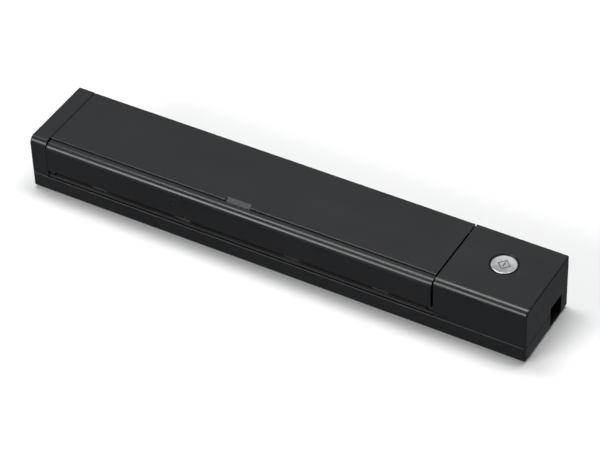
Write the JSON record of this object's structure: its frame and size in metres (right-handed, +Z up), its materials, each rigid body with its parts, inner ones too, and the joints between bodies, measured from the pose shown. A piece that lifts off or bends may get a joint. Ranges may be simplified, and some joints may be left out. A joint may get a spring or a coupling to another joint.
{
  "type": "sheet fed document scanner",
  "caption": "Compact sheet fed document scanner: long low black case, lid that opens back as a feed tray, hinged front unit over a front exit slot, round start button",
  "frame": {"origin": "centre of the casing in length and depth, on the plane that the feet stand on; the front unit stands 0.9 mm in front of the casing", "axes": "+X to the right along the length, +Y to the back, +Z up; the exit slot faces -Y"},
  "size_m": [0.3124, 0.0525, 0.0364],
  "materials": {
    "case_black": "fine-grained moulded plastic, satin",
    "case_inner": "moulded plastic, plain",
    "guide_black": "smooth moulded plastic, low friction",
    "acetal_white": "natural acetal, gears and bushes",
    "steel_plate": "zinc plated sheet steel",
    "shaft_steel": "ground steel rod",
    "screw_steel": "plated screw steel",
    "roller_rubber": "soft grey rubber tyre",
    "foot_rubber": "black rubber",
    "sensor_body": "glass filled black plastic",
    "sensor_glass": "clear cover glass",
    "board_green": "solder mask on glass epoxy",
    "chip_black": "moulded epoxy and plated cans",
    "socket_steel": "tinned steel shell",
    "button_silver": "silver painted plastic",
    "ribbon_white": "flat film cable",
    "motor_steel": "plated motor can"
  },
  "bodies": {
    "base": {"base_case": "case_black", "rubber_feet": "foot_rubber", "case_screws": "screw_steel", "left_end_cap": "case_black", "right_cover": "case_black", "rear_cover": "case_black", "left_side_plate": "steel_plate", "right_side_plate": "steel_plate", "feed_bushes": "acetal_white", "eject_bushes": "acetal_white", "motor_bracket": "steel_plate", "bracket_spacers": "screw_steel", "gear_studs": "shaft_steel", "motor_body": "motor_steel", "motor_screws": "screw_steel", "lower_guide": "guide_black", "inlet_guide": "guide_black", "lower_sensor": "sensor_body", "lower_sensor_glass": "sensor_glass", "sensor_stands": "case_inner", "front_hinge_pins": "shaft_steel", "tray_hinge_pins": "shaft_steel", "button_board": "board_green", "tact_switch": "chip_black", "slide_switch": "chip_black", "main_board": "board_green", "board_posts": "case_inner", "board_chips": "chip_black", "data_socket": "socket_steel", "sensor_ribbon": "ribbon_white"},
    "tray": {"tray_panel": "case_black", "tray_liner": "guide_black", "pinion_pin": "shaft_steel"},
    "extension": {"tray_extension": "guide_black"},
    "guide_right": {"guide_right": "guide_black"},
    "guide_left": {"guide_left": "guide_black"},
    "guide_pinion": {"guide_pinion": "acetal_white"},
    "front_unit": {"front_cover": "case_black", "front_frame": "case_inner", "upper_sensor": "sensor_body", "upper_sensor_glass": "sensor_glass"},
    "pinch_rollers": {"pinch_axle": "shaft_steel", "pinch_rollers": "acetal_white"},
    "feed_roller": {"feed_shaft": "shaft_steel", "feed_tyres": "roller_rubber", "feed_gear": "acetal_white"},
    "eject_roller": {"eject_shaft": "shaft_steel", "eject_tyres": "roller_rubber", "eject_gear": "acetal_white"},
    "retard_roller": {"retard_tyre": "roller_rubber", "retard_axle": "shaft_steel"},
    "motor_pinion": {"motor_pinion": "acetal_white"},
    "reduction_gear": {"reduction_gear": "acetal_white"},
    "transfer_gear": {"transfer_gear": "acetal_white"},
    "start_button": {"start_button": "button_silver"},
    "auto_start_slider": {"auto_start_slider": "guide_black"}
  },
  "joints": [
    {"name": "tray_hinge", "type": "hinge", "parent": "base", "child": "tray", "pos_m": [0, 0.0215, 0.0319], "axis": [-1, 0, 0], "range_deg": [0, 115]},
    {"name": "extension_slide", "type": "slide", "parent": "tray", "child": "extension", "axis": [0, -1, 0], "range_m": [0, 0.028]},
    {"name": "guide_right_slide", "type": "slide", "parent": "tray", "child": "guide_right", "axis": [-1, 0, 0], "range_m": [0, 0.082]},
    {"name": "guide_left_slide", "type": "slide", "parent": "tray", "child": "guide_left", "axis": [1, 0, 0], "range_m": [0, 0.082]},
    {"name": "guide_pinion_spin", "type": "hinge", "parent": "tray", "child": "guide_pinion", "pos_m": [-0.02237, 0.0096, 0.0339], "axis": [0, 0, 1], "range_deg": [0, 1180]},
    {"name": "front_hinge", "type": "hinge", "parent": "base", "child": "front_unit", "pos_m": [0, -0.0226, 0.0136], "axis": [1, 0, 0], "range_deg": [0, 60]},
    {"name": "pinch_spin", "type": "hinge", "parent": "front_unit", "child": "pinch_rollers", "pos_m": [0, -0.02156, 0.01795], "axis": [1, 0, 0], "continuous": true},
    {"name": "feed_spin", "type": "hinge", "parent": "base", "child": "feed_roller", "pos_m": [0, 0.0004, 0.01706], "axis": [1, 0, 0], "continuous": true},
    {"name": "eject_spin", "type": "hinge", "parent": "base", "child": "eject_roller", "pos_m": [0, -0.01939, 0.01198], "axis": [1, 0, 0], "continuous": true},
    {"name": "retard_spin", "type": "hinge", "parent": "base", "child": "retard_roller", "pos_m": [0, -0.00434, 0.02598], "axis": [1, 0, 0], "continuous": true},
    {"name": "motor_spin", "type": "hinge", "parent": "base", "child": "motor_pinion", "pos_m": [0, 0.0135, 0.017], "axis": [1, 0, 0], "continuous": true},
    {"name": "reduction_spin", "type": "hinge", "parent": "base", "child": "reduction_gear", "pos_m": [0, 0.00626, 0.0239], "axis": [1, 0, 0], "continuous": true},
    {"name": "transfer_spin", "type": "hinge", "parent": "base", "child": "transfer_gear", "pos_m": [0, -0.01154, 0.01818], "axis": [1, 0, 0], "continuous": true},
    {"name": "start_button_press", "type": "slide", "parent": "base", "child": "start_button", "axis": [0, 0, -1], "range_m": [0, 0.0008], "stiffness_N_per_m": 1500},
    {"name": "auto_start_slide", "type": "slide", "parent": "base", "child": "auto_start_slider", "axis": [1, 0, 0], "range_m": [0, 0.0025]}
  ],
  "couplings": [
    {"joint": "extension_slide", "follows": "tray_hinge", "m_per_rad": 0.01394},
    {"joint": "guide_left_slide", "follows": "guide_right_slide", "ratio": 1},
    {"joint": "guide_pinion_spin", "follows": "guide_right_slide", "rad_per_m": 250},
    {"joint": "reduction_spin", "follows": "feed_spin", "ratio": -2},
    {"joint": "motor_spin", "follows": "feed_spin", "ratio": 4.6667},
    {"joint": "transfer_spin", "follows": "feed_spin", "ratio": -1},
    {"joint": "eject_spin", "follows": "feed_spin", "ratio": 1.5}
  ]
}
